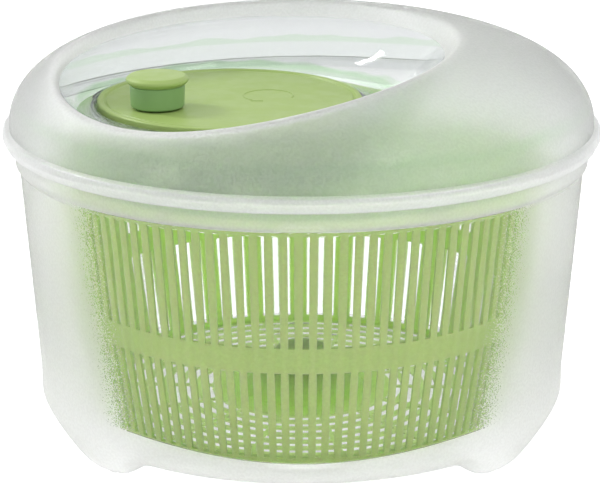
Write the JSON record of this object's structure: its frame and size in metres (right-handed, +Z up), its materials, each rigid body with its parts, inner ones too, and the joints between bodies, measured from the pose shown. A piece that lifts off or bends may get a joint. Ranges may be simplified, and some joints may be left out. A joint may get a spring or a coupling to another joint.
{
  "type": "salad spinner",
  "caption": "Salad spinner: frosted bowl on feet, slotted green basket on a pin, and a domed lid whose off-centre crank disc turns the basket through a ring gear and pinion.",
  "frame": {"origin": "on the bowl's vertical axis, in the plane that the feet stand on", "axes": "+Z up along the bowl's axis, -Y towards the front where the rim has its thumb notch, -X towards the crank"},
  "size_m": [0.25, 0.25, 0.169],
  "materials": {
    "frosted_plastic": "satin, translucent",
    "green_plastic": "satin",
    "light_green_plastic": "satin",
    "dark_green_plastic": "satin",
    "acetal": "satin",
    "steel": "satin"
  },
  "bodies": {
    "bowl": {"bowl": "frosted_plastic", "pivot_pin": "steel"},
    "bearing": {"basket_bush": "acetal"},
    "basket": {"basket": "green_plastic"},
    "lid": {"lid_shell": "frosted_plastic", "gear_housing": "green_plastic", "shaft_bush": "acetal", "housing_screw_1": "steel", "housing_screw_2": "steel", "housing_screw_3": "steel", "housing_screw_4": "steel"},
    "crank": {"crank_disc": "light_green_plastic", "ring_gear": "acetal", "crank_washer": "steel", "crank_screw": "steel", "knob_pin": "steel"},
    "knob": {"knob_grip": "dark_green_plastic", "knob_cap": "light_green_plastic"},
    "driver": {"basket_driver": "green_plastic", "drive_pinion": "acetal", "pinion_screw": "steel"}
  },
  "joints": [
    {"name": "lid_lift", "type": "slide", "parent": "bowl", "child": "lid", "axis": [0, 0, 1], "range_m": [0, 0.3]},
    {"name": "basket_lift", "type": "slide", "parent": "bowl", "child": "bearing", "axis": [0, 0, 1], "range_m": [0, 0.15]},
    {"name": "crank_spin", "type": "hinge", "parent": "lid", "child": "crank", "pos_m": [-0.03, 0, 0.1395], "axis": [0, 0, 1], "continuous": true},
    {"name": "knob_spin", "type": "hinge", "parent": "crank", "child": "knob", "pos_m": [-0.0592, -0.018, 0.1532], "axis": [0, 0, 1], "continuous": true},
    {"name": "driver_spin", "type": "hinge", "parent": "lid", "child": "driver", "pos_m": [0, 0, 0.129], "axis": [0, 0, 1], "continuous": true},
    {"name": "basket_spin", "type": "hinge", "parent": "bearing", "child": "basket", "pos_m": [0, 0, 0.012], "axis": [0, 0, 1], "continuous": true}
  ],
  "couplings": [
    {"joint": "basket_lift", "follows": "lid_lift", "ratio": 0.5},
    {"joint": "driver_spin", "follows": "crank_spin", "ratio": 3},
    {"joint": "basket_spin", "follows": "crank_spin", "ratio": 3}
  ]
}
